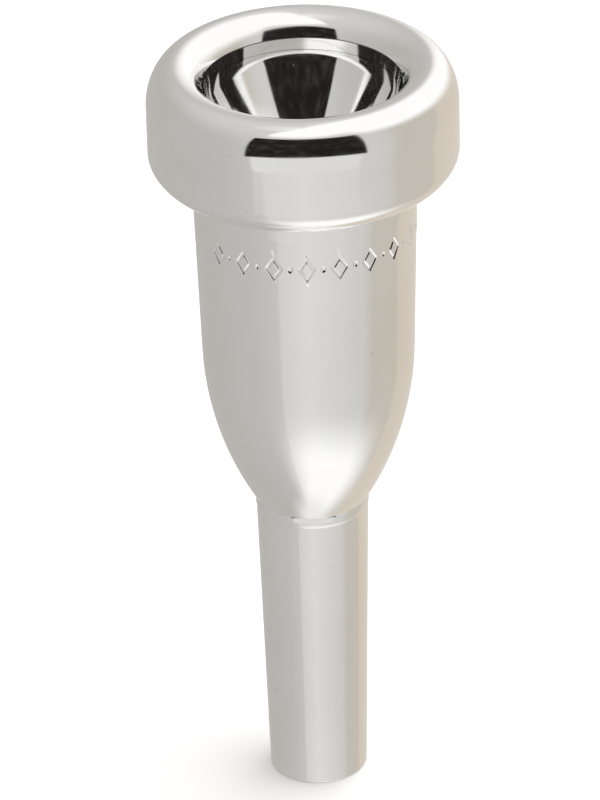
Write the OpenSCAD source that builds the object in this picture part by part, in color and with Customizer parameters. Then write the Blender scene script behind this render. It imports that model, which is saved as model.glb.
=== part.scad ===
// Cornet-length mouthpiece with a heavy rim and cup body, in its screw-together form.
// +Z runs up the air column: z = 0 is the shank tip, the top is the rim's highest line.
// Depths are measured down from the top of the rim, as a turner would mark them out.

/* [Overall] */
// Length from the shank tip to the top of the rim
total_length = 70.6; // [68:0.1:74]

/* [Rim] */
// Outside diameter of the rim band
rim_d = 27.0; // [26.6:0.1:28]
// Diameter of the rim's highest line
crest_d = 22.2; // [21.6:0.1:22.8]
// Depth of the rounded crown, from the highest line to the straight band
crown_h = 3.7; // [3:0.1:4.5]
// Depth at which the straight band ends and the underside begins
band_end = 7.9; // [7.2:0.1:8.4]
// Depth of the rim's seat on the cup body
rim_h = 10.6; // [10.4:0.1:11]
// Radius of the roll from the highest line down towards the cup
roll_r = 2.4; // [2.3:0.05:2.5]
// Radius of the flatter stretch of the roll, just above the bite
bite_slope_r = 4.8; // [4.5:0.1:5.1]

/* [Bowl] */
// Angle of the bowl wall from the axis, just under the bite
bowl_start_angle = 11; // [10:0.5:12]
// Angle of the bowl wall from the axis, where it turns into the throat
bowl_end_angle = 57; // [54:1:58]
// Radius, in section, of the near-straight land under the bite
land_r = 16; // [14:0.5:18]
// Radius, in section, of the knee where the land runs into the bowl
knee_r = 6.3; // [6:0.1:6.6]
// Radius, in section, of the long middle stretch of the bowl
middle_bowl_r = 26; // [24:0.5:27]
// Radius, in section, of the bottom of the bowl
lower_bowl_r = 10; // [9.6:0.1:10.4]

/* [Air passage] */
// Bore at the throat, the narrowest place
throat_d = 3.66; // [3.4:0.02:4]
// Depth at which the throat ends and the backbore starts to open
throat_end = 17; // [14:0.5:20]
// Bore at the shank tip
exit_d = 7.4; // [7:0.1:7.7]
// How late the backbore opens: 1 is a plain cone
flare_power = 1.2; // [1:0.05:1.6]

/* [Cup body] */
// Diameter of the seat collar under the rim
collar_d = 19.76; // [19.7:0.02:19.9]
// Depth at which the seat collar ends
collar_end = 12.3; // [12:0.1:13]
// Diameter of the body just under the collar
body_d = 19.5; // [19.3:0.05:19.6]
// Inward slope of the body's straight part
body_slope = 1.5; // [1:0.1:2]
// Depth at which the body starts to round in
round_start = 27.5; // [26:0.5:30]
// Depth of the seam between the cup body and the shank
waist_depth = 42.35; // [42:0.05:43]
// Diameter of the cup body at that seam
waist_d = 10.1; // [10:0.05:10.3]

/* [Shank] */
// Diameter of the shank's taper just below its bead
shank_top_d = 9.95; // [9.9:0.01:10]
// Diameter of the shank's taper at its tip
shank_tip_d = 8.74; // [8.7:0.01:8.8]
// Largest diameter of the bead at the top of the shank
bead_d = 10.06; // [10.02:0.01:10.1]
// Height of that bead
bead_h = 1.1; // [0.9:0.1:1.3]
// Rounding of the edge at the tip
tip_edge = 0.15; // [0.1:0.05:0.3]

/* [Screw threads] */
// Rise for each turn of both threads
pitch = 0.8; // [0.75:0.05:0.85]
// Outside diameter of the thread under the rim
rim_thread_d = 19.0; // [18.9:0.05:19.05]
// Outside diameter of the thread on the shank
shank_thread_d = 8.0; // [7.9:0.05:8]
// Gap between mating flanks, crests and roots
thread_gap = 0.08; // [0.06:0.01:0.1]

/* [Seals] */
// Thickness of the ring seal under the rim
rim_seal_w = 1.1; // [1:0.05:1.1]
// Thickness of the ring seal on the shank
shank_seal_w = 0.9; // [0.8:0.05:0.9]

/* [Engraved border] */
// Depth of the middle of the border
border_depth = 15; // [14:0.5:18]
// Height of the border's lozenges
border_h = 2.3; // [1.6:0.1:2.6]
// Width of the border's lozenges
lozenge_w = 1.5; // [1.2:0.1:1.6]
// Width of the engraved strokes
stroke_w = 0.22; // [0.16:0.02:0.26]
// How deep the marks are cut
mark_cut = 0.12; // [0.08:0.02:0.2]
// Number of repeats in the border
border_repeats = 9; // [5:1:12]
// Angle round the axis of the first lozenge, from +X
border_start = -141; // [-180:1:180]
// Angle round the axis from one repeat to the next
border_step = 17; // [16:1:20]

/* [Hidden] */
silver = [0.83, 0.83, 0.82];
rubber = [0.10, 0.10, 0.11];
$fn = 96;
arc_steps = 20;
short_arc_steps = 8;

// Slope of the roll where its two radii meet, and where it ends at the bite
roll_angle = 52;
bite_angle = 65;

// Angle of the bowl wall at the seam between the rim and the cup, and where the knee and
// the middle stretch end
seam_angle = 14.7;
knee_angle = 25;
lower_angle = 36;
// Gap at that seam
seam_gap = 0.03;

// Where the stretches of the roll and the bowl meet, each as a radius and a depth
crest = [crest_d / 2, 0];
slope_start = roll_end(crest, roll_r, 0, roll_angle);
bite = roll_end(slope_start, bite_slope_r, roll_angle, bite_angle);
seam = bowl_end(bite, land_r, bowl_start_angle, seam_angle);
knee_start = [seam[0] - seam_gap * tan(seam_angle), seam[1] + seam_gap];
middle_start = bowl_end(knee_start, knee_r, seam_angle, knee_angle);
lower_start = bowl_end(middle_start, middle_bowl_r, knee_angle, lower_angle);
bowl_bottom = bowl_end(lower_start, lower_bowl_r, lower_angle, bowl_end_angle);

// Step in from the seat collar to the rim's underside
underside_step = 0.12;

// Thread form: a ridge on the inner part and a matching groove in the outer part
ridge_h = 0.46;
ridge_root_w = 0.62;
ridge_crest_w = 0.12;
ridge_sink = 0.12;
fade_turns = 1 / 3;
groove_overrun = 0.5;
ridge_start_gap = 0.2;
ridge_end_gap = 0.1;
rim_turn_steps = 36;
shank_turn_steps = 24;
rim_ridge_r = rim_thread_d / 2;
shank_ridge_r = shank_thread_d / 2;
flank_gap = thread_gap * 1.2;

// Clearance round both spigots, and the closer one round their lands and seals
socket_gap = 0.14;
running_gap = 0.05;

// The joint under the rim: depths of its features, measured back from the rim's seat
spigot_top = knee_start[1];
rim_relief_end = rim_h - 6.2;
rim_thread_end = rim_h - 1.9;
rim_gland_top = rim_h - 1.6;
rim_gland_end = rim_h - 0.4;
rim_socket_r = rim_ridge_r + socket_gap;
rim_gland_r = rim_socket_r - rim_seal_w - 2 * running_gap;

// The joint above the shank: depths of its features, measured back from the waist
shank_spigot_top = waist_depth - 7.05;
shank_relief_end = waist_depth - 6.15;
shank_thread_end = waist_depth - 1.65;
shank_gland_top = waist_depth - 1.45;
shank_gland_end = waist_depth - 0.45;
shank_socket_r = shank_ridge_r + socket_gap;
shank_gland_r = shank_socket_r - shank_seal_w - 2 * running_gap;

// Radius of the fine notch above the bead
notch_r = bead_d / 2 - 0.09;
bead_steps = 9;

// How far the marks' cutters reach out past the wall, and the sides of a dot
mark_reach = 1;
dot_sides = 24;
seal_sides = 32;

function reversed(list) = [for (i = [len(list) - 1 : -1 : 0]) list[i]];

// The height of a depth below the top
function up(depth) = total_length - depth;

// Points on an ellipse from one angle to another, centred at radius r and depth d
function arc(r, d, ar, ad, from, to, steps = arc_steps) =
    [for (i = [0 : steps])
        let (a = from + (to - from) * i / steps)
        [r + ar * cos(a), up(d) + ad * sin(a)]];

// A stretch of the roll from a point p, and its end: its slope grows from a to b
function roll_arc(p, r, a, b, steps = arc_steps) =
    arc(p[0] + r * sin(a), p[1] + r * cos(a), r, r, 90 + a, 90 + b, steps);
function roll_end(p, r, a, b) =
    [p[0] - r * (sin(b) - sin(a)), p[1] + r * (cos(a) - cos(b))];

// A stretch of the bowl from a point p, and its end: the wall's angle from the axis
// grows from a to b
function bowl_arc(p, r, a, b, steps = short_arc_steps) =
    arc(p[0] - r * cos(a), p[1] - r * sin(a), r, r, -a, -b, steps);
function bowl_end(p, r, a, b) =
    [p[0] - r * (cos(a) - cos(b)), p[1] + r * (sin(b) - sin(a))];

// The rounded shoulder that leads from the bowl into the throat
shoulder_r = (bowl_bottom[0] - throat_d / 2) / (1 - cos(bowl_end_angle));
throat_start = bowl_bottom[1] + shoulder_r * sin(bowl_end_angle);

function throat_shoulder() = arc(throat_d / 2 + shoulder_r, throat_start,
    shoulder_r, shoulder_r, 180 - bowl_end_angle, 180);

// Backbore radius at a depth, and its wall as points from one depth to another
function backbore(d) = throat_d / 2 + (exit_d - throat_d) / 2
    * pow((d - throat_end) / (total_length - throat_end), flare_power);
function backbore_wall(from, to, steps) =
    [for (i = [0 : steps])
        let (d = from + (to - from) * i / steps)
        [backbore(d), up(d)]];

// The body's outside: a slight taper, then one arc tangent to it that ends at the waist
taper_r = body_d / 2 - (round_start - collar_end) * tan(body_slope);
reach = waist_depth - round_start;
fall = taper_r - waist_d / 2;
along = reach * cos(body_slope) + fall * sin(body_slope);
across = fall * cos(body_slope) - reach * sin(body_slope);
body_r = (along * along + across * across) / (2 * across);
body_turn = 2 * atan(across / along);
function body_arc() = arc(taper_r - body_r * cos(body_slope),
    round_start - body_r * sin(body_slope), body_r, body_r,
    -body_slope, -body_slope - body_turn);

// Both halves of a thread start from the same angle, so that they mesh when seated
function z_angle(z) = 360 * z / pitch;

// A helical bar with a trapezium section: a ridge to add, or a groove to cut.
// Its section is root_w wide at root_r and crest_w wide at crest_r, with the flanks
// carried on inwards by ridge_sink. With fade it dies away into the root at both ends.
module helix(root_r, crest_r, root_w, crest_w, z_low, z_high, turn_steps, fade) {
    steps = round((z_high - z_low) / pitch * turn_steps);
    fade_steps = fade_turns * turn_steps;
    flare = (root_w - crest_w) / (crest_r - root_r);
    inner_r = root_r - ridge_sink;
    function grown(i) = fade ? min(1, (i + 1) / fade_steps, (steps - i + 1) / fade_steps) : 1;
    points = [for (i = [0 : steps])
        let (a = z_angle(z_low) + 360 * i / turn_steps,
             z = z_low + pitch * i / turn_steps,
             outer_r = inner_r + (crest_r - inner_r) * grown(i),
             inner_w = root_w / 2 + flare * ridge_sink / 2,
             outer_w = inner_w - flare * (outer_r - inner_r) / 2)
        each [[inner_r * cos(a), inner_r * sin(a), z - inner_w],
              [outer_r * cos(a), outer_r * sin(a), z - outer_w],
              [outer_r * cos(a), outer_r * sin(a), z + outer_w],
              [inner_r * cos(a), inner_r * sin(a), z + inner_w]]];
    sides = [for (i = [0 : steps - 1], k = [0 : 3])
        let (p = 4 * i + k, q = 4 * i + (k + 1) % 4)
        each [[p, q, p + 4], [q, q + 4, p + 4]]];
    last = 4 * steps;
    ends = [[0, 2, 1], [0, 3, 2], [last, last + 1, last + 2], [last, last + 2, last + 3]];
    polyhedron(points = points, faces = concat(sides, ends), convexity = 10);
}

// The ridge on a spigot, kept inside the stretch that its socket's groove covers
module ridge(outer_r, from, to, turn_steps) {
    helix(outer_r - ridge_h, outer_r, ridge_root_w, ridge_crest_w,
        up(to - ridge_end_gap), up(from + ridge_start_gap), turn_steps, true);
}

// The groove in a socket, run on past both ends of the threaded stretch
module groove(outer_r, from, to, turn_steps) {
    helix(outer_r - ridge_h, outer_r + thread_gap, ridge_root_w + 2 * flank_gap,
        ridge_crest_w + 2 * flank_gap - thread_gap,
        up(to + groove_overrun), up(from - groove_overrun), turn_steps, false);
}

// Rim: crown, band and underside outside, the roll and the top of the bowl inside
module rim() {
    socket_r = rim_socket_r;
    crest_r = rim_ridge_r - ridge_h + thread_gap;
    underside_r = collar_d / 2 - underside_step;
    color(silver) difference() {
        rotate_extrude() polygon(concat(
            [[socket_r, up(rim_h)]],
            arc(underside_r, band_end, rim_d / 2 - underside_r, rim_h - band_end, -90, 0),
            arc(crest_d / 2, crown_h, (rim_d - crest_d) / 2, crown_h, 0, 90),
            roll_arc(crest, roll_r, 0, roll_angle),
            roll_arc(slope_start, bite_slope_r, roll_angle, bite_angle, short_arc_steps),
            bowl_arc(bite, land_r, bowl_start_angle, seam_angle),
            [[socket_r, up(seam[1])],
             [socket_r, up(rim_relief_end)],
             [crest_r, up(rim_relief_end)],
             [crest_r, up(rim_thread_end)],
             [socket_r, up(rim_thread_end)]]));
        groove(rim_ridge_r, rim_relief_end, rim_thread_end, rim_turn_steps);
    }
}

// Cup body: the bowl, throat and first part of the backbore inside a heavy turned shell
module cup_body() {
    root_r = rim_ridge_r - ridge_h;
    socket_r = shank_socket_r;
    crest_r = shank_ridge_r - ridge_h + thread_gap;
    socket_end = shank_spigot_top - running_gap;
    color(silver) difference() {
        union() {
            rotate_extrude() polygon(concat(
                bowl_arc(knee_start, knee_r, seam_angle, knee_angle),
                bowl_arc(middle_start, middle_bowl_r, knee_angle, lower_angle),
                bowl_arc(lower_start, lower_bowl_r, lower_angle, bowl_end_angle, arc_steps),
                throat_shoulder(),
                backbore_wall(throat_end, socket_end, 6),
                [[socket_r, up(socket_end)],
                 [socket_r, up(shank_relief_end)],
                 [crest_r, up(shank_relief_end)],
                 [crest_r, up(shank_thread_end)],
                 [socket_r, up(shank_thread_end)],
                 [socket_r, up(waist_depth)]],
                reversed(body_arc()),
                [[body_d / 2, up(collar_end)],
                 [collar_d / 2, up(collar_end)],
                 [collar_d / 2, up(rim_h)],
                 [rim_socket_r - running_gap, up(rim_h)],
                 [rim_socket_r - running_gap, up(rim_gland_end)],
                 [rim_gland_r, up(rim_gland_end)],
                 [rim_gland_r, up(rim_gland_top)],
                 [root_r, up(rim_gland_top)],
                 [root_r, up(spigot_top)]]));
            ridge(rim_ridge_r, rim_relief_end, rim_thread_end, rim_turn_steps);
        }
        groove(shank_ridge_r, shank_relief_end, shank_thread_end, shank_turn_steps);
        border();
    }
}

// Engraved border: an outlined lozenge and a dot, repeated part of the way round the body
module border() {
    for (i = [0 : border_repeats - 1])
        let (a = border_start + i * border_step) {
            mark(a) lozenge();
            mark(a + border_step / 2) dot();
        }
}

// Sets a mark into the wall, facing outwards, at an angle round the axis
module mark(turn) {
    wall_r = body_d / 2 - (border_depth - collar_end) * tan(body_slope);
    rotate([0, 0, turn])
        translate([wall_r - mark_cut, 0, up(border_depth)])
            rotate([90, 0, 90])
                linear_extrude(height = mark_cut + mark_reach)
                    children();
}

// An outlined lozenge: the inner one is set in by one stroke on all four sides
module lozenge() {
    side = norm([lozenge_w, border_h]);
    difference() {
        diamond(lozenge_w, border_h);
        diamond(lozenge_w - 2 * stroke_w * side / border_h,
            border_h - 2 * stroke_w * side / lozenge_w);
    }
}

module diamond(w, h) {
    polygon([[w / 2, 0], [0, h / 2], [-w / 2, 0], [0, -h / 2]]);
}

module dot() {
    circle(d = 2 * stroke_w, $fn = dot_sides);
}

// Shank: threaded spigot, bead, and the taper that seats in the instrument
module shank() {
    root_r = shank_ridge_r - ridge_h;
    color(silver) union() {
        rotate_extrude() polygon(concat(
            reversed(backbore_wall(shank_spigot_top, total_length, 10)),
            [[root_r, up(shank_spigot_top)],
             [root_r, up(shank_gland_top)],
             [shank_gland_r, up(shank_gland_top)],
             [shank_gland_r, up(shank_gland_end)],
             [shank_socket_r - running_gap, up(shank_gland_end)],
             [shank_socket_r - running_gap, up(waist_depth)],
             [notch_r, up(waist_depth)]],
            bead(),
            [[shank_top_d / 2, up(waist_depth + bead_h)],
             [shank_tip_d / 2, tip_edge]],
            reversed(arc(shank_tip_d / 2 - tip_edge, total_length - tip_edge,
                tip_edge, tip_edge, -90, 0))));
        ridge(shank_ridge_r, shank_relief_end, shank_thread_end, shank_turn_steps);
    }
}

// The bead's outline: a shallow bulge between the notch and the top of the taper
function bead() = [for (i = [1 : bead_steps - 1])
    let (share = i / bead_steps)
    [notch_r + (shank_top_d / 2 - notch_r) * share + (bead_d / 2 - notch_r) * sin(180 * share),
     up(waist_depth + bead_h * share)]];

// Ring seals, each captive in the gland below its thread
module seal(gland_r, thickness, from, to) {
    color(rubber)
        rotate_extrude()
            translate([gland_r + running_gap + thickness / 2, up((from + to) / 2)])
                circle(d = thickness, $fn = seal_sides);
}

module rim_seal() {
    seal(rim_gland_r, rim_seal_w, rim_gland_top, rim_gland_end);
}

module shank_seal() {
    seal(shank_gland_r, shank_seal_w, shank_gland_top, shank_gland_end);
}

rim();
rim_seal();
cup_body();
shank_seal();
shank();
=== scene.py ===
"""A silver-plated brass mouthpiece: rim, cup body and shank as fine turned meshes around the
CAD frame, with cut threads, an engraved border, ring seals, studio light and a pale floor."""

import math

import bpy
import numpy as np
from mathutils import Matrix, Vector


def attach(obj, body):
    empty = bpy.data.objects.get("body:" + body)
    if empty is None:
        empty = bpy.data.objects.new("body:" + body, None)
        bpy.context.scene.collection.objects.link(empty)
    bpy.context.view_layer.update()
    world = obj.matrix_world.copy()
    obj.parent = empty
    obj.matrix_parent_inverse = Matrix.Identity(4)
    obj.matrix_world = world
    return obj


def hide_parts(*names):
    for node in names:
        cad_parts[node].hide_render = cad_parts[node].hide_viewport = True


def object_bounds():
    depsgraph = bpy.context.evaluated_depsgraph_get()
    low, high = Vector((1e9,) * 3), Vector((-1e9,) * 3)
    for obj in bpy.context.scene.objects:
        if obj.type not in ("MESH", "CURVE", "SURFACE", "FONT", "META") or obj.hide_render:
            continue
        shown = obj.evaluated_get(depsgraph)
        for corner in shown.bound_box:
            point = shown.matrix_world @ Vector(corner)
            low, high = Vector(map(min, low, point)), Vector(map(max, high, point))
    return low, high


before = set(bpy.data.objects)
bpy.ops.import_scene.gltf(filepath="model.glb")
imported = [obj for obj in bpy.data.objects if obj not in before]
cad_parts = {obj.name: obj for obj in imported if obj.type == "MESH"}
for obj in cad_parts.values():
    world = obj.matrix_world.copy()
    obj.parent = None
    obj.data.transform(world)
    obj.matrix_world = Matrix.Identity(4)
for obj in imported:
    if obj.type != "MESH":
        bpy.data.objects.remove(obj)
cad_low, cad_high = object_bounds()

MM = 0.001
TOP = cad_high.z / MM

# ---------------------------------------------------------------- sizes, in millimetres
# Depths are measured down from the top of the rim, as in the CAD source.

RIM_R = (cad_high.x - cad_low.x) / MM / 2
CREST_R, CROWN_H, BAND_END, RIM_H = 11.1, 3.7, 7.9, 10.6
ROLL_R, SLOPE_R, ROLL_ANGLE, BITE_ANGLE = 2.4, 4.8, 52, 65
LAND_R, KNEE_R, MIDDLE_BOWL_R, LOWER_BOWL_R = 16, 6.3, 26, 10
BOWL_START, SEAM_ANGLE, KNEE_ANGLE, LOWER_ANGLE, BOWL_END = 11, 14.7, 25, 36, 57
THROAT_R, THROAT_END, EXIT_R, FLARE_POWER = 1.83, 17, 3.7, 1.2
COLLAR_R, COLLAR_END, UNDERSIDE_R = 9.88, 12.3, 9.76
BODY_R, BODY_SLOPE, ROUND_START, WAIST, WAIST_R = 9.75, 1.5, 27.5, 42.35, 5.05
SHANK_TOP_R, SHANK_TIP_R, BEAD_R, BEAD_H, NOTCH_R, TIP_EDGE = 4.975, 4.37, 5.03, 1.1, 4.94, 0.15
PITCH, RIDGE_H, RIDGE_ROOT_W, RIDGE_CREST_W, THREAD_GAP = 0.8, 0.46, 0.62, 0.12, 0.08
RIM_THREAD_R, SHANK_THREAD_R, SOCKET_CLEAR, RUNNING_GAP = 9.5, 4.0, 0.14, 0.05
SEAM_GAP = 0.03
RIM_RELIEF, RIM_THREAD_END, RIM_GLAND, RIM_GLAND_END = 4.4, 8.7, 9.0, 10.2
SPIGOT_TOP, SHANK_RELIEF, SHANK_THREAD_END = 35.3, 36.2, 40.7
SHANK_GLAND, SHANK_GLAND_END = 40.9, 41.9
RIM_SEAL_W, SHANK_SEAL_W = 1.1, 0.9
BORDER_DEPTH, BORDER_H, LOZENGE_W, STROKE_W, MARK_CUT = 15, 2.3, 1.5, 0.22, 0.12
BORDER_START, BORDER_STEP, BORDER_REPEATS = -141, 17, 9
BORDER_REACH, COLLAR_EDGE, BURR_H = 1.3, 0.1, 0.012
TOUCHING = 0.01

# Columns round each part: finest across the engraving, fine where the bowl and the rim mirror
# each other, and coarse on the threads. Each count divides the first, so the columns line up.
ENGRAVED_COLUMNS, MIRROR_COLUMNS, WALL_COLUMNS, THREAD_COLUMNS = 1152, 384, 192, 96


def rad(angle):
    return math.radians(angle)


def up(depth):
    """The height of a depth below the top of the rim."""
    return TOP - depth


# ---------------------------------------------------------------- outlines

def arc(r, depth, ar, ad, start, stop, steps):
    """Points on an ellipse centred at a radius and a depth."""
    return [(r + ar * math.cos(rad(a)), up(depth) + ad * math.sin(rad(a)))
            for a in np.linspace(start, stop, steps + 1)]


def eased(steps):
    """Shares from 0 to 1, closer together at both ends."""
    return [(1 - math.cos(math.pi * i / steps)) / 2 for i in range(steps + 1)]


def line(r0, z0, r1, z1, steps=4):
    return [(r0 + (r1 - r0) * t, z0 + (z1 - z0) * t) for t in eased(steps)]


def roll_arc(start, r, a, b, steps):
    """A stretch of the roll from a point, whose slope grows from a to b."""
    return arc(start[0] + r * math.sin(rad(a)), start[1] + r * math.cos(rad(a)), r, r,
               90 + a, 90 + b, steps)


def roll_end(start, r, a, b):
    return (start[0] - r * (math.sin(rad(b)) - math.sin(rad(a))),
            start[1] + r * (math.cos(rad(a)) - math.cos(rad(b))))


def bowl_arc(start, r, a, b, steps):
    """A stretch of the bowl from a point, whose angle from the axis grows from a to b. Its
    points are closer together at its ends, where the mirror finish would show a kink."""
    r0, depth = start[0] - r * math.cos(rad(a)), start[1] - r * math.sin(rad(a))
    leans = [rad(a + (b - a) * t) for t in eased(steps)]
    return [(r0 + r * math.cos(lean), up(depth + r * math.sin(lean))) for lean in leans]


def bowl_end(start, r, a, b):
    return (start[0] - r * (math.cos(rad(a)) - math.cos(rad(b))),
            start[1] + r * (math.sin(rad(b)) - math.sin(rad(a))))


# Where the stretches of the roll and the bowl meet, each as a radius and a depth.
CREST = (CREST_R, 0)
SLOPE_START = roll_end(CREST, ROLL_R, 0, ROLL_ANGLE)
BITE = roll_end(SLOPE_START, SLOPE_R, ROLL_ANGLE, BITE_ANGLE)
SEAM = bowl_end(BITE, LAND_R, BOWL_START, SEAM_ANGLE)
KNEE_START = (SEAM[0] - SEAM_GAP * math.tan(rad(SEAM_ANGLE)), SEAM[1] + SEAM_GAP)
MIDDLE_START = bowl_end(KNEE_START, KNEE_R, SEAM_ANGLE, KNEE_ANGLE)
LOWER_START = bowl_end(MIDDLE_START, MIDDLE_BOWL_R, KNEE_ANGLE, LOWER_ANGLE)
BOWL_BOTTOM = bowl_end(LOWER_START, LOWER_BOWL_R, LOWER_ANGLE, BOWL_END)
SHOULDER_END = BOWL_BOTTOM[1] + 2


def backbore(depth):
    opened = (depth - THROAT_END) / (TOP - THROAT_END)
    return THROAT_R + (EXIT_R - THROAT_R) * opened ** FLARE_POWER


def backbore_wall(start, stop, steps):
    return [(backbore(d), up(d)) for d in np.linspace(start, stop, steps + 1)]


def body_arc(steps):
    """The arc that rounds the cup body in to its waist, tangent to the body's taper."""
    taper_r = BODY_R - (ROUND_START - COLLAR_END) * math.tan(rad(BODY_SLOPE))
    reach, fall = WAIST - ROUND_START, taper_r - WAIST_R
    sin_s, cos_s = math.sin(rad(BODY_SLOPE)), math.cos(rad(BODY_SLOPE))
    along, across = reach * cos_s + fall * sin_s, fall * cos_s - reach * sin_s
    radius = (along ** 2 + across ** 2) / (2 * across)
    turn = math.degrees(2 * math.atan(across / along))
    return arc(taper_r - radius * cos_s, ROUND_START - radius * sin_s, radius, radius,
               -BODY_SLOPE, -BODY_SLOPE - turn, steps)


def rim_outline():
    socket_r = RIM_THREAD_R + SOCKET_CLEAR
    crest_r = RIM_THREAD_R - RIDGE_H + THREAD_GAP
    seam = (SEAM[0], up(SEAM[1]))
    return [
        line(socket_r, up(RIM_H), UNDERSIDE_R, up(RIM_H), 2),
        arc(UNDERSIDE_R, BAND_END, RIM_R - UNDERSIDE_R, RIM_H - BAND_END, -90, 0, 32),
        line(RIM_R, up(BAND_END), RIM_R, up(CROWN_H), 8),
        arc(CREST_R, CROWN_H, RIM_R - CREST_R, CROWN_H, 0, 90, 48),
        roll_arc(CREST, ROLL_R, 0, ROLL_ANGLE, 36),
        roll_arc(SLOPE_START, SLOPE_R, ROLL_ANGLE, BITE_ANGLE, 16),
        bowl_arc(BITE, LAND_R, BOWL_START, SEAM_ANGLE, 12),
        line(*seam, socket_r, seam[1], 2),
        line(socket_r, seam[1], socket_r, up(RIM_RELIEF), 2),
        line(socket_r, up(RIM_RELIEF), crest_r, up(RIM_RELIEF), 1),
        thread_rows(crest_r, RIM_RELIEF, RIM_THREAD_END),
        line(crest_r, up(RIM_THREAD_END), socket_r, up(RIM_THREAD_END), 1),
        line(socket_r, up(RIM_THREAD_END), socket_r, up(RIM_H), 3),
    ]


def cup_outline():
    root_r = RIM_THREAD_R - RIDGE_H
    land_r = RIM_THREAD_R + SOCKET_CLEAR - RUNNING_GAP
    gland_r = RIM_THREAD_R + SOCKET_CLEAR - RIM_SEAL_W - 2 * RUNNING_GAP
    socket_r = SHANK_THREAD_R + SOCKET_CLEAR
    crest_r = SHANK_THREAD_R - RIDGE_H + THREAD_GAP
    seam_d = KNEE_START[1]
    shoulder_r = (BOWL_BOTTOM[0] - THROAT_R) / (1 - math.cos(rad(BOWL_END)))
    throat_start = BOWL_BOTTOM[1] + shoulder_r * math.sin(rad(BOWL_END))
    socket_end = SPIGOT_TOP - RUNNING_GAP
    border_top, border_low = BORDER_DEPTH - BORDER_REACH, BORDER_DEPTH + BORDER_REACH
    slope = math.tan(rad(BODY_SLOPE))

    def wall_r(depth):
        return BODY_R - (depth - COLLAR_END) * slope

    return [
        bowl_arc(KNEE_START, KNEE_R, SEAM_ANGLE, KNEE_ANGLE, 24),
        bowl_arc(MIDDLE_START, MIDDLE_BOWL_R, KNEE_ANGLE, LOWER_ANGLE, 20),
        bowl_arc(LOWER_START, LOWER_BOWL_R, LOWER_ANGLE, BOWL_END, 24),
        arc(THROAT_R + shoulder_r, throat_start, shoulder_r, shoulder_r,
            180 - BOWL_END, 180, 14),
        line(THROAT_R, up(throat_start), THROAT_R, up(THROAT_END), 2),
        backbore_wall(THROAT_END, socket_end, 8),
        line(backbore(socket_end), up(socket_end), socket_r, up(socket_end), 1),
        line(socket_r, up(socket_end), socket_r, up(SHANK_RELIEF), 1),
        line(socket_r, up(SHANK_RELIEF), crest_r, up(SHANK_RELIEF), 1),
        thread_rows(crest_r, SHANK_RELIEF, SHANK_THREAD_END),
        line(crest_r, up(SHANK_THREAD_END), socket_r, up(SHANK_THREAD_END), 1),
        line(socket_r, up(SHANK_THREAD_END), socket_r, up(WAIST), 2),
        line(socket_r, up(WAIST), WAIST_R, up(WAIST), 1),
        body_arc(48)[::-1],
        line(wall_r(ROUND_START), up(ROUND_START), wall_r(border_low), up(border_low), 8),
        line(wall_r(border_low), up(border_low), wall_r(border_top), up(border_top), 44),
        line(wall_r(border_top), up(border_top), BODY_R, up(COLLAR_END), 2),
        line(BODY_R, up(COLLAR_END), COLLAR_R, up(COLLAR_END - COLLAR_EDGE), 2),
        line(COLLAR_R, up(COLLAR_END - COLLAR_EDGE), COLLAR_R, up(RIM_H), 2),
        line(COLLAR_R, up(RIM_H), land_r, up(RIM_H), 1),
        line(land_r, up(RIM_H), land_r, up(RIM_GLAND_END), 1),
        line(land_r, up(RIM_GLAND_END), gland_r, up(RIM_GLAND_END), 1),
        line(gland_r, up(RIM_GLAND_END), gland_r, up(RIM_GLAND), 1),
        line(gland_r, up(RIM_GLAND), root_r, up(RIM_GLAND), 1),
        thread_rows(root_r, RIM_GLAND, RIM_RELIEF),
        line(root_r, up(RIM_RELIEF), root_r, up(seam_d), 1),
        line(root_r, up(seam_d), KNEE_START[0], up(seam_d), 1),
    ]


def shank_outline():
    root_r = SHANK_THREAD_R - RIDGE_H
    land_r = SHANK_THREAD_R + SOCKET_CLEAR - RUNNING_GAP
    gland_r = SHANK_THREAD_R + SOCKET_CLEAR - SHANK_SEAL_W - 2 * RUNNING_GAP
    bead = [(NOTCH_R + (SHANK_TOP_R - NOTCH_R) * t + (BEAD_R - NOTCH_R) * math.sin(math.pi * t),
             up(WAIST + BEAD_H * t)) for t in np.linspace(0, 1, 19)]
    return [
        backbore_wall(TOP, SPIGOT_TOP, 24),
        line(backbore(SPIGOT_TOP), up(SPIGOT_TOP), root_r, up(SPIGOT_TOP), 1),
        line(root_r, up(SPIGOT_TOP), root_r, up(SHANK_RELIEF), 1),
        thread_rows(root_r, SHANK_RELIEF, SHANK_GLAND),
        line(root_r, up(SHANK_GLAND), gland_r, up(SHANK_GLAND), 1),
        line(gland_r, up(SHANK_GLAND), gland_r, up(SHANK_GLAND_END), 1),
        line(gland_r, up(SHANK_GLAND_END), land_r, up(SHANK_GLAND_END), 1),
        line(land_r, up(SHANK_GLAND_END), land_r, up(WAIST), 1),
        line(land_r, up(WAIST), NOTCH_R, up(WAIST), 1),
        bead,
        line(SHANK_TOP_R, up(WAIST + BEAD_H), SHANK_TIP_R, TIP_EDGE, 24),
        arc(SHANK_TIP_R - TIP_EDGE, TOP - TIP_EDGE, TIP_EDGE, TIP_EDGE, 0, -90, 5),
    ]


def thread_rows(r, start, stop, rows_per_turn=14):
    """Closely spaced rows along a straight wall that a thread is then cut into or raised on."""
    steps = round(abs(stop - start) / PITCH * rows_per_turn)
    return [(r, up(d)) for d in np.linspace(start, stop, steps + 1)]


# ---------------------------------------------------------------- columns

def columns(count):
    """Evenly spaced angles round the axis, all from one shared set."""
    shared = np.linspace(0, 2 * math.pi, ENGRAVED_COLUMNS, endpoint=False)
    return shared[::ENGRAVED_COLUMNS // count]


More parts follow.
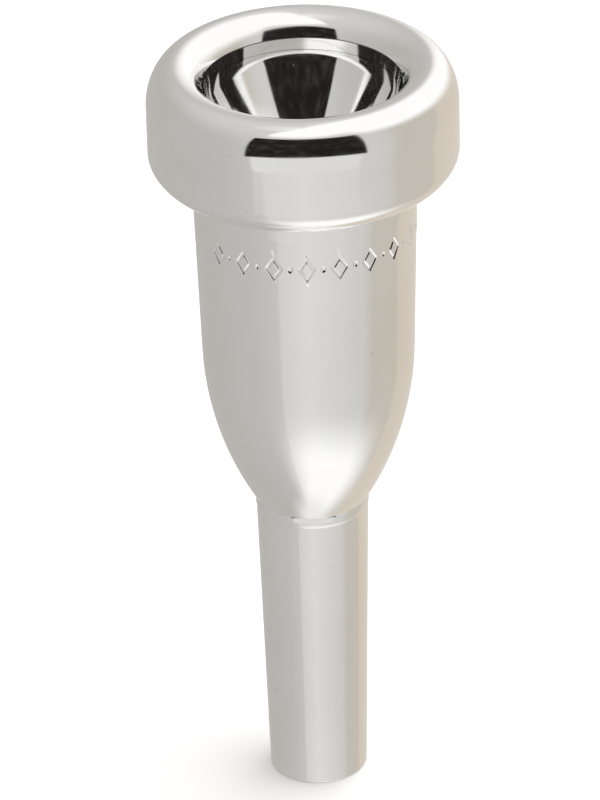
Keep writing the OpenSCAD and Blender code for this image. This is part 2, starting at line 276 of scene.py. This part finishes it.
def engraved_columns():
    """The wall's columns, with the finest ones across the engraved part."""
    finest = columns(ENGRAVED_COLUMNS)
    first = rad(BORDER_START - BORDER_STEP / 2)
    span = rad((BORDER_REPEATS + 0.5) * BORDER_STEP)
    return np.union1d(columns(WALL_COLUMNS), finest[(finest - first) % (2 * math.pi) <= span])


def rim_columns(r, z):
    in_socket = r < RIM_THREAD_R + SOCKET_CLEAR + TOUCHING and z < up(SEAM[1]) - TOUCHING
    return columns(THREAD_COLUMNS if in_socket else MIRROR_COLUMNS)


def cup_columns(r, z):
    in_bowl = r < KNEE_START[0] + TOUCHING and z > up(SHOULDER_END)
    on_spigot = r < RIM_THREAD_R + SOCKET_CLEAR and z > up(RIM_H) - TOUCHING
    in_socket = r < SHANK_THREAD_R + SOCKET_CLEAR + TOUCHING
    if in_bowl:
        return columns(MIRROR_COLUMNS)
    if on_spigot or in_socket:
        return columns(THREAD_COLUMNS)
    if abs(z - up(BORDER_DEPTH)) < BORDER_REACH + TOUCHING / 10:
        return engraved_columns()
    return columns(WALL_COLUMNS)


def shank_columns(r, z):
    on_spigot = r < SHANK_THREAD_R + SOCKET_CLEAR and z > up(WAIST) - TOUCHING
    return columns(THREAD_COLUMNS if on_spigot else WALL_COLUMNS)


def seal_columns(r, z):
    return columns(WALL_COLUMNS)


# ---------------------------------------------------------------- turned meshes

def flatten(stretches, sharp_angle=25):
    """One closed outline from its stretches, with a flag on each point that is a sharp corner."""
    points = []
    for stretch in stretches:
        for p in stretch:
            if not points or math.dist(p, points[-1]) > 1e-4:
                points.append(p)
    if math.dist(points[0], points[-1]) < 1e-4:
        points.pop()
    ring = np.array(points)
    ahead = np.roll(ring, -1, 0) - ring
    heading = np.arctan2(ahead[:, 1], ahead[:, 0])
    turn = np.abs((heading - np.roll(heading, 1) + math.pi) % (2 * math.pi) - math.pi)
    return ring, np.degrees(turn) > sharp_angle


def thread_height(theta, z, root_w, crest_w, height):
    """How far a right-hand thread's ridge stands above its root at each angle and height."""
    phase = (z / PITCH - theta / (2 * math.pi) + 0.5) % 1 - 0.5
    off = np.abs(phase) * PITCH
    return height * np.clip((root_w / 2 - off) / ((root_w - crest_w) / 2), 0, 1)


def turned(name, stretches, row_columns, reshape=None):
    """A turned solid: the closed outline swept round the axis. row_columns gives the angles of
    the row at a radius and a height, and reshape moves the radii."""
    ring, sharp = flatten(stretches)
    angles = [row_columns(r, z) for r, z in ring]
    starts = np.concatenate([[0], np.cumsum([len(a) for a in angles])])
    theta = np.concatenate(angles)
    r = np.concatenate([np.full(len(a), p[0]) for a, p in zip(angles, ring)])
    z = np.concatenate([np.full(len(a), p[1]) for a, p in zip(angles, ring)])
    if reshape:
        r = reshape(theta, r, z)
    verts = np.stack([r * np.cos(theta), r * np.sin(theta), z], 1) * MM
    faces = []
    edges_sharp = []
    for i in range(len(ring)):
        j = (i + 1) % len(ring)
        faces += ring_faces(angles[i], angles[j], starts[i], starts[j])
        if sharp[i]:
            n = len(angles[i])
            edges_sharp += [(starts[i] + k, starts[i] + (k + 1) % n) for k in range(n)]
    mesh = bpy.data.meshes.new(name)
    mesh.from_pydata(verts.tolist(), [], faces)
    mesh.shade_smooth()
    mark_sharp(mesh, edges_sharp)
    piece = bpy.data.objects.new(name, mesh)
    bpy.context.scene.collection.objects.link(piece)
    return piece


def ring_faces(low, high, low_start, high_start):
    """Faces between two rings. One ring's angles may be a finer set than the other's."""
    base = low if len(low) <= len(high) else high
    low_at = np.searchsorted(low, base)
    high_at = np.searchsorted(high, base)
    faces = []
    for k in range(len(base)):
        low_run = run(low_at, k, len(low), low_start)
        high_run = run(high_at, k, len(high), high_start)
        faces.append(low_run + high_run[::-1])
    return faces


def run(at, k, count, start):
    """Vertex numbers along a ring from one base angle to the next."""
    first = at[k]
    last = at[k + 1] if k + 1 < len(at) else count
    return [int(start + m % count) for m in range(first, last + 1)]


def mark_sharp(mesh, pairs):
    wanted = {(min(a, b), max(a, b)) for a, b in pairs}
    ends = np.empty(len(mesh.edges) * 2, np.int32)
    mesh.edges.foreach_get("vertices", ends)
    flags = [(min(a, b), max(a, b)) in wanted for a, b in ends.reshape(-1, 2).tolist()]
    layer = mesh.attributes.new("sharp_edge", "BOOLEAN", "EDGE")
    layer.data.foreach_set("value", flags)


def between(z, low, high):
    return (z > low) & (z < high)


def fade(z, low, high, length):
    """1 inside a stretch, dying away to 0 at its two ends."""
    return np.clip(np.minimum(z - low, high - z) / length, 0, 1)


def rim_shape(theta, r, z):
    """The thread groove inside the rim."""
    crest_r = RIM_THREAD_R - RIDGE_H + THREAD_GAP
    gap = THREAD_GAP * 1.2
    depth = thread_height(theta, z, RIDGE_ROOT_W + 2 * gap, RIDGE_CREST_W + 2 * gap - THREAD_GAP,
                          RIDGE_H + THREAD_GAP)
    groove = np.maximum(RIM_THREAD_R - RIDGE_H + depth, crest_r)
    inside = (np.abs(r - crest_r) < 1e-3) & between(z, up(RIM_THREAD_END), up(RIM_RELIEF))
    return np.where(inside, groove, r)


def cup_shape(theta, r, z):
    """The ridge under the rim, the groove in the socket and the engraved border."""
    root_r = RIM_THREAD_R - RIDGE_H
    low, high = up(RIM_THREAD_END - 0.1), up(RIM_RELIEF + 0.2)
    ridge = thread_height(theta, z, RIDGE_ROOT_W, RIDGE_CREST_W, RIDGE_H) * fade(z, low, high, 0.3)
    r = np.where((np.abs(r - root_r) < 1e-3) & between(z, low, high), root_r + ridge, r)
    crest_r = SHANK_THREAD_R - RIDGE_H + THREAD_GAP
    gap = THREAD_GAP * 1.2
    depth = thread_height(theta, z, RIDGE_ROOT_W + 2 * gap, RIDGE_CREST_W + 2 * gap - THREAD_GAP,
                          RIDGE_H + THREAD_GAP)
    groove = np.maximum(SHANK_THREAD_R - RIDGE_H + depth, crest_r)
    inside = (np.abs(r - crest_r) < 1e-3) & between(z, up(SHANK_THREAD_END), up(SHANK_RELIEF))
    r = np.where(inside, groove, r)
    wall = (r > 9) & between(z, up(BORDER_DEPTH + BORDER_REACH), up(BORDER_DEPTH - BORDER_REACH))
    return np.where(wall, r - border_cut(theta, z), r)


def shank_shape(theta, r, z):
    """The ridge on the shank's spigot."""
    root_r = SHANK_THREAD_R - RIDGE_H
    low, high = up(SHANK_THREAD_END - 0.1), up(SHANK_RELIEF + 0.2)
    ridge = thread_height(theta, z, RIDGE_ROOT_W, RIDGE_CREST_W, RIDGE_H) * fade(z, low, high, 0.3)
    return np.where((np.abs(r - root_r) < 1e-3) & between(z, low, high), root_r + ridge, r)


def border_cut(theta, z):
    """Depth of the engraving: outlined lozenges with a dot between, and a fine raised burr."""
    wall_r = BODY_R - (BORDER_DEPTH - COLLAR_END) * math.tan(rad(BODY_SLOPE))
    y = z - up(BORDER_DEPTH)
    into = np.full(theta.shape, -1.0)
    for i in range(BORDER_REPEATS):
        turn = rad(BORDER_START + i * BORDER_STEP)
        x = around(theta, turn) * wall_r
        into = np.maximum(into, lozenge_stroke(x, y))
        x = around(theta, turn + rad(BORDER_STEP / 2)) * wall_r
        into = np.maximum(into, STROKE_W - np.hypot(x, y))
    cut = MARK_CUT * np.clip(into / 0.05 + 0.5, 0, 1)
    burr = BURR_H * np.exp(-((into + 0.05) / 0.035) ** 2)
    return cut - burr


def around(theta, turn):
    """The signed angle from a direction, wrapped to half a turn each way."""
    return (theta - turn + math.pi) % (2 * math.pi) - math.pi


def lozenge_stroke(x, y):
    """How far inside the stroke of a lozenge's outline a point is, in millimetres."""
    half_w, half_h = LOZENGE_W / 2, BORDER_H / 2
    across = half_w * half_h / math.hypot(half_w, half_h)
    edge = (1 - np.abs(x) / half_w - np.abs(y) / half_h) * across
    return np.minimum(edge, STROKE_W - edge)


def seal(name, gland_r, width, top, low, sides=24):
    """A ring seal, centred in its gland."""
    centre_r, centre_d = gland_r + RUNNING_GAP + width / 2, (top + low) / 2
    outline = arc(centre_r, centre_d, width / 2, width / 2, 0, 360, sides)[::-1]
    return turned(name, [outline], seal_columns)


# ---------------------------------------------------------------- material nodes

def srgb(r, g, b):
    """A linear colour from display values."""
    def one(v):
        v = v / 255
        return v / 12.92 if v <= 0.04045 else ((v + 0.055) / 1.055) ** 2.4
    return one(r), one(g), one(b), 1


class Nodes:
    """Adds nodes to a tree, joining numbers, colours and other nodes' outputs to their sockets."""

    def __init__(self, tree):
        self.tree = tree
        tree.nodes.clear()

    def add(self, kind, inputs=None, **settings):
        node = self.tree.nodes.new(kind)
        for key, value in settings.items():
            setattr(node, key, value)
        for key, value in (inputs or {}).items():
            self.join(node.inputs[key], value)
        return node

    def join(self, socket, value):
        if isinstance(value, bpy.types.NodeSocket):
            self.tree.links.new(value, socket)
        else:
            socket.default_value = value

    def math(self, operation, a, b=0.0, clamp=False):
        node = self.add("ShaderNodeMath", {0: a, 1: b}, operation=operation, use_clamp=clamp)
        return node.outputs[0]

    def step(self, value, low, high, out_low=0.0, out_high=1.0):
        """A smooth step of the value from low to high."""
        inputs = {"Value": value, "From Min": low, "From Max": high,
                  "To Min": out_low, "To Max": out_high}
        node = self.add("ShaderNodeMapRange", inputs, interpolation_type="SMOOTHSTEP")
        return node.outputs["Result"]

    def mix(self, share, a, b):
        node = self.add("ShaderNodeMix", data_type="RGBA")
        self.join(node.inputs["Factor"], share)
        self.join(node.inputs["A"], a)
        self.join(node.inputs["B"], b)
        return node.outputs["Result"]

    def noise(self, vector, scale, detail=2.0, rough=0.5):
        inputs = {"Vector": vector, "Scale": scale, "Detail": detail, "Roughness": rough}
        return self.add("ShaderNodeTexNoise", inputs).outputs["Fac"]

    def scaled(self, vector, x, y, z):
        node = self.add("ShaderNodeMapping", {"Vector": vector, "Scale": (x, y, z)})
        return node.outputs["Vector"]


def silver_plate():
    """Mirror-polished silver plate: faint polishing lines round the turned surface, hairline
    scratches, soft haze, a few tiny pits, and a thin dark line along the bite."""
    material = bpy.data.materials.new("silver_plate")
    material.use_nodes = True
    n = Nodes(material.node_tree)
    place = n.add("ShaderNodeTexCoord").outputs["Object"]
    xyz = n.add("ShaderNodeSeparateXYZ", {"Vector": place})
    angle = n.math("ARCTAN2", xyz.outputs["Y"], xyz.outputs["X"])
    round_axis = n.add("ShaderNodeCombineXYZ", {"X": angle, "Y": 0.0, "Z": xyz.outputs["Z"]})
    lines = n.noise(n.scaled(round_axis.outputs[0], 1.2, 1, 9000), 1.0, 3)
    drift = n.noise(place, 90.0, 3)
    haze = n.noise(place, 260.0, 4, 0.6)
    hairs = n.noise(n.scaled(round_axis.outputs[0], 60, 1, 2600), 1.0, 2, 0.7)
    hair = n.step(hairs, 0.70, 0.76)
    pits = n.add("ShaderNodeTexVoronoi", {"Vector": place, "Scale": 900.0})
    chosen = n.step(n.noise(place, 420.0, 1), 0.66, 0.7)
    pit = n.math("MULTIPLY", n.step(pits.outputs["Distance"], 0.16, 0.08), chosen)
    rough = n.math("ADD", n.step(haze, 0.35, 0.75, 0.045, 0.11), n.math("MULTIPLY", pit, 0.25))
    tone = n.mix(n.step(drift, 0.3, 0.7), (0.905, 0.898, 0.885, 1), (0.935, 0.932, 0.924, 1))
    tone = n.mix(n.math("MULTIPLY", pit, 0.35), tone, (0.45, 0.42, 0.38, 1))
    # A thin dark line along the bite: a narrow ring there gets a darker colour and a rougher
    # finish.
    from_bite = n.math("ABSOLUTE", n.math("SUBTRACT", xyz.outputs["Z"], up(BITE[1]) * MM))
    near_bite = n.step(from_bite, 0.07 * MM, 0.02 * MM)
    flat = n.scaled(place, 1, 1, 0)
    radius = n.add("ShaderNodeVectorMath", {0: flat}, operation="LENGTH").outputs["Value"]
    bite_dark_line = n.math("MULTIPLY", near_bite, n.step(radius, 9.2 * MM, 8.9 * MM))
    tone = n.mix(n.math("MULTIPLY", bite_dark_line, 0.8), tone, (0.10, 0.09, 0.085, 1))
    rough = n.math("ADD", rough, n.math("MULTIPLY", bite_dark_line, 0.2))
    height = n.math("ADD", n.math("MULTIPLY", lines, 0.25), n.math("MULTIPLY", hair, 0.2))
    height = n.math("SUBTRACT", height, pit)
    bump = n.add("ShaderNodeBump", {"Strength": 0.035, "Distance": 0.00002, "Height": height})
    shader = n.add("ShaderNodeBsdfPrincipled", {
        "Base Color": tone, "Metallic": 1.0, "Roughness": rough, "Normal": bump.outputs[0]})
    n.add("ShaderNodeOutputMaterial", {"Surface": shader.outputs[0]})
    return material


def seal_rubber():
    """Black nitrile rubber with a dry, slightly uneven surface."""
    material = bpy.data.materials.new("seal_rubber")
    material.use_nodes = True
    n = Nodes(material.node_tree)
    place = n.add("ShaderNodeTexCoord").outputs["Object"]
    grain = n.noise(place, 3000.0, 4, 0.6)
    patch = n.noise(place, 500.0, 2)
    tone = n.mix(n.step(patch, 0.3, 0.7), (0.012, 0.012, 0.013, 1), (0.03, 0.03, 0.032, 1))
    bump = n.add("ShaderNodeBump", {"Strength": 0.25, "Distance": 0.00003, "Height": grain})
    shader = n.add("ShaderNodeBsdfPrincipled", {
        "Base Color": tone, "Roughness": n.step(grain, 0.3, 0.7, 0.42, 0.62),
        "Normal": bump.outputs[0]})
    n.add("ShaderNodeOutputMaterial", {"Surface": shader.outputs[0]})
    return material


# ---------------------------------------------------------------- studio

def studio_world():
    """The white studio tent seen in the polish, by direction from the object. Azimuth is 0
    towards -Y and grows towards +X. The camera itself sees plain white."""
    world = bpy.data.worlds.new("studio_tent")
    bpy.context.scene.world = world
    world.use_nodes = True
    n = Nodes(world.node_tree)
    way = n.add("ShaderNodeTexCoord").outputs["Generated"]
    xyz = n.add("ShaderNodeSeparateXYZ", {"Vector": way})
    az = n.math("DEGREES", n.math("ARCTAN2", xyz.outputs["X"],
                                  n.math("MULTIPLY", xyz.outputs["Y"], -1.0)))
    el = n.math("DEGREES", n.math("ARCSINE", xyz.outputs["Z"]))

    def panel(az_low, az_high, el_low, el_high, soft_az, soft_el, tilt=0.0, bow=0.0):
        """Share of a panel at each direction. tilt raises it towards +azimuth; bow lowers
        its ends."""
        lift = n.math("MULTIPLY", az, tilt)
        drop = n.math("MULTIPLY", n.math("MULTIPLY", az, az), bow)
        level = n.math("ADD", n.math("SUBTRACT", el, lift), drop)
        left = n.step(az, az_low - soft_az, az_low + soft_az)
        right = n.step(az, az_high + soft_az, az_high - soft_az)
        low = n.step(level, el_low - soft_el, el_low + soft_el)
        high = n.step(level, el_high + soft_el, el_high - soft_el)
        return n.math("MULTIPLY", n.math("MULTIPLY", left, right), n.math("MULTIPLY", low, high))

    colour = lower_ring(n, az)
    white = srgb(255, 255, 255)
    layers = [
        (panel(-200, 200, 38, 200, 5, 25), srgb(206, 205, 203)),
        (panel(-200, 200, 74, 200, 5, 10), srgb(226, 225, 223)),
        (panel(-200, 200, 86, 200, 5, 5), white),
        (panel(-36, 170, 53, 200, 2.5, 6), white),
        (panel(45, 170, 64, 200, 12, 9, tilt=-0.45), white),
        (panel(172, 200, -45, -14, 5, 8), white),
        (panel(-200, -172, -45, -14, 5, 8), white),
        (panel(-38, 40, -27, 4, 2, 2), srgb(219, 219, 217)),
        (panel(-25, 95, -95, -50, 30, 12), white),
        (panel(-200, 200, -100, -80, 30, 8), srgb(238, 238, 236)),
        (panel(-42, 45, 3, 48, 1.2, 1.6, bow=0.0035), dark_room(n, way)),
    ]
    for share, tint in layers:
        colour = n.mix(share, colour, tint)
    path = n.add("ShaderNodeLightPath")
    diffuse_lift = n.math("MULTIPLY", path.outputs["Is Diffuse Ray"], 0.35)
    strength = n.math("ADD", 1.08, diffuse_lift)
    colour = n.mix(path.outputs["Is Camera Ray"], colour, (1, 1, 1, 1))
    light = n.add("ShaderNodeBackground", {"Color": colour, "Strength": strength})
    n.add("ShaderNodeOutputWorld", {"Surface": light.outputs[0]})


def dark_room(n, way):
    """The unlit room behind the tent's opening, with dim shapes in it."""
    shapes = n.noise(way, 7.0, 5, 0.65)
    return n.mix(n.step(shapes, 0.42, 0.72), srgb(32, 29, 28), srgb(56, 53, 51))


def lower_ring(n, az):
    """The tent's colour all round at and below the object's level: grey on the left, pale in
    front, warm on the right."""
    stops = [(-180, (190, 188, 185)), (-165, (183, 180, 176)), (-120, (182, 179, 175)),
             (-60, (187, 185, 183)), (-32, (196, 195, 193)), (-29, (209, 208, 206)),
             (0, (219, 218, 216)), (30, (210, 210, 208)), (62, (203, 201, 198)),
             (74, (194, 189, 180)), (108, (194, 188, 178)), (114, (207, 197, 184)),
             (150, (211, 202, 190)), (168, (214, 206, 197)), (180, (190, 188, 185))]
    turn = n.add("ShaderNodeMapRange", {"Value": az, "From Min": -180.0, "From Max": 180.0})
    ramp = n.add("ShaderNodeValToRGB", {"Fac": turn.outputs["Result"]})
    elements = ramp.color_ramp.elements
    elements[0].position, elements[1].position = 0, 1
    for angle, _ in stops[1:-1]:
        elements.new((angle + 180) / 360)
    for element, (_, tint) in zip(elements, stops):
        element.color = srgb(*tint)
    return ramp.outputs["Color"]


def floor():
    """A plain pale floor. It isn't seen in the polish, which shows the tent instead."""
    half = 3.0
    mesh = bpy.data.meshes.new("floor")
    mesh.from_pydata([(-half, -half, 0), (half, -half, 0), (half, half, 0), (-half, half, 0)],
                     [], [(0, 1, 2, 3)])
    plane = bpy.data.objects.new("floor", mesh)
    bpy.context.scene.collection.objects.link(plane)
    material = bpy.data.materials.new("floor_paper")
    material.use_nodes = True
    n = Nodes(material.node_tree)
    place = n.add("ShaderNodeTexCoord").outputs["Object"]
    tone = n.mix(n.noise(place, 40.0, 3), (0.94, 0.94, 0.935, 1), (0.95, 0.95, 0.945, 1))
    shader = n.add("ShaderNodeBsdfPrincipled", {
        "Base Color": tone, "Roughness": 0.9, "Specular IOR Level": 0.1})
    n.add("ShaderNodeOutputMaterial", {"Surface": shader.outputs[0]})
    mesh.materials.append(material)
    plane.visible_glossy = False


def soft_light(name, place, aim, size, power):
    """A square softbox that only lights the floor and the rubber: the tent makes the polish."""
    data = bpy.data.lights.new(name, "AREA")
    data.size, data.energy = size, power
    lamp = bpy.data.objects.new(name, data)
    lamp.location = place
    lamp.rotation_euler = (Vector(aim) - Vector(place)).to_track_quat("-Z", "Y").to_euler()
    lamp.visible_glossy = False
    bpy.context.scene.collection.objects.link(lamp)


def camera():
    """A long lens, looking a little down on the rim, with the axis leaning slightly."""
    pitch, roll, distance, lens_mm = 29.54, 1.49, 0.5491, 280.1
    aim = Vector((-0.00088, 0, 0.03745))
    back = Vector((0, -math.cos(rad(pitch)), math.sin(rad(pitch))))
    data = bpy.data.cameras.new("camera")
    data.lens, data.sensor_width = lens_mm, 36
    data.clip_start, data.clip_end = 0.01, 10
    cam = bpy.data.objects.new("camera", data)
    look = (-back).to_track_quat("-Z", "Y").to_matrix().to_4x4()
    cam.matrix_world = Matrix.Translation(aim + back * distance) @ look @ Matrix.Rotation(
        -rad(roll), 4, "Z")
    bpy.context.scene.collection.objects.link(cam)
    bpy.context.scene.camera = cam


# ---------------------------------------------------------------- the object

def put(piece, node, body, material):
    """Sets a piece in place of its CAD node, on the CAD body, with its finish."""
    piece.data.materials.append(material)
    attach(piece, body)
    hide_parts(node)


camera()
studio_world()
floor()
soft_light("overhead", (0.1, 0.05, 0.6), (0, 0, 0), 0.5, 2.0)

silver = silver_plate()
rubber = seal_rubber()

put(turned("rim_turned", rim_outline(), rim_columns, rim_shape),
    "rim", "rim", silver)
put(turned("cup_turned", cup_outline(), cup_columns, cup_shape),
    "cup_body", "cup_body", silver)
put(turned("shank_turned", shank_outline(), shank_columns, shank_shape),
    "shank", "shank", silver)
put(seal("rim_ring_seal", RIM_THREAD_R + SOCKET_CLEAR - RIM_SEAL_W - 2 * RUNNING_GAP, RIM_SEAL_W,
         RIM_GLAND, RIM_GLAND_END), "rim_seal", "rim_seal", rubber)
put(seal("shank_ring_seal", SHANK_THREAD_R + SOCKET_CLEAR - SHANK_SEAL_W - 2 * RUNNING_GAP,
         SHANK_SEAL_W, SHANK_GLAND, SHANK_GLAND_END),
    "shank_seal", "shank_seal", rubber)

bpy.context.scene.view_settings.view_transform = "Standard"
